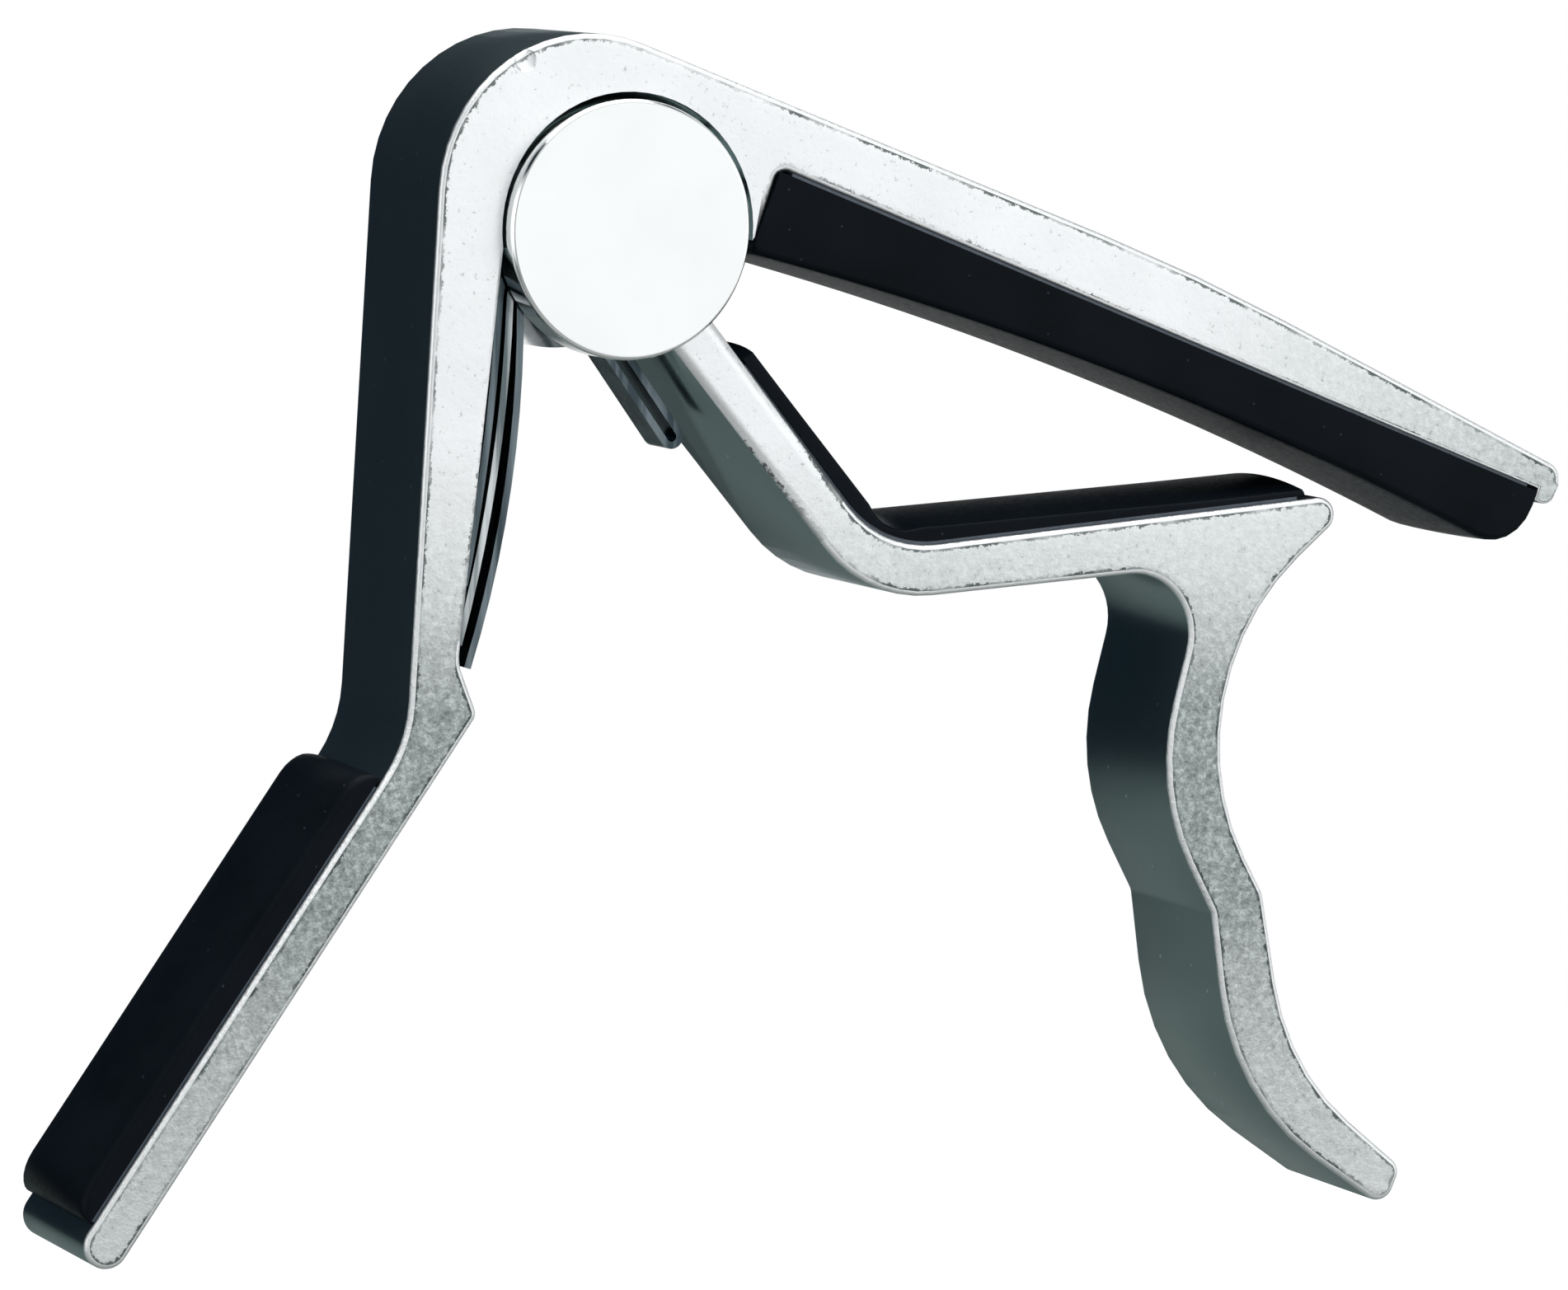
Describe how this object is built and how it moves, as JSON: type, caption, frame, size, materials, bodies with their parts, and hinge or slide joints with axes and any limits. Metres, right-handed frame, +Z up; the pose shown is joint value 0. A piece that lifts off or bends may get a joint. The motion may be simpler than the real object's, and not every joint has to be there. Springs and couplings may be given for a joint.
{
  "type": "guitar capo",
  "caption": "Trigger-style guitar capo with a sprung lever, two covered pivot heads, nested leaf springs and black rubber pads.",
  "frame": {"origin": "middle of the footprint, level with the two tips that the capo stands on", "axes": "+X towards the tip of the string bar, +Z up, -Y towards the side with the front disc"},
  "size_m": [0.1122, 0.0154, 0.0824],
  "materials": {
    "body_metal": "satin, lightly cast grain",
    "disc_metal": "polished",
    "spring_metal": "bright rolled",
    "pin_metal": "ground",
    "bush_metal": "turned",
    "black_rubber": "matte",
    "tape_film": "slightly glossy film"
  },
  "bodies": {
    "frame_body": {"frame": "body_metal", "string_pad": "black_rubber", "string_pad_tape": "tape_film", "grip_pad": "black_rubber", "grip_pad_tape": "tape_film", "pivot_pin": "pin_metal", "washer_front": "bush_metal", "washer_rear": "bush_metal", "front_disc": "disc_metal", "rear_disc": "disc_metal", "spring_leaf_long": "spring_metal", "spring_leaf_middle": "spring_metal", "spring_leaf_short": "spring_metal"},
    "lever_body": {"lever": "body_metal", "saddle_pad": "black_rubber", "saddle_pad_tape": "tape_film", "pivot_bush": "bush_metal"}
  },
  "joints": [
    {"name": "lever_pivot", "type": "hinge", "parent": "frame_body", "child": "lever_body", "pos_m": [-0.01814, 0, 0.06933], "axis": [0, 1, 0], "range_deg": [0, 28], "stiffness_Nm_per_rad": 0.3, "springref_deg": -22.92, "deforming": ["spring_leaf_long"]}
  ]
}
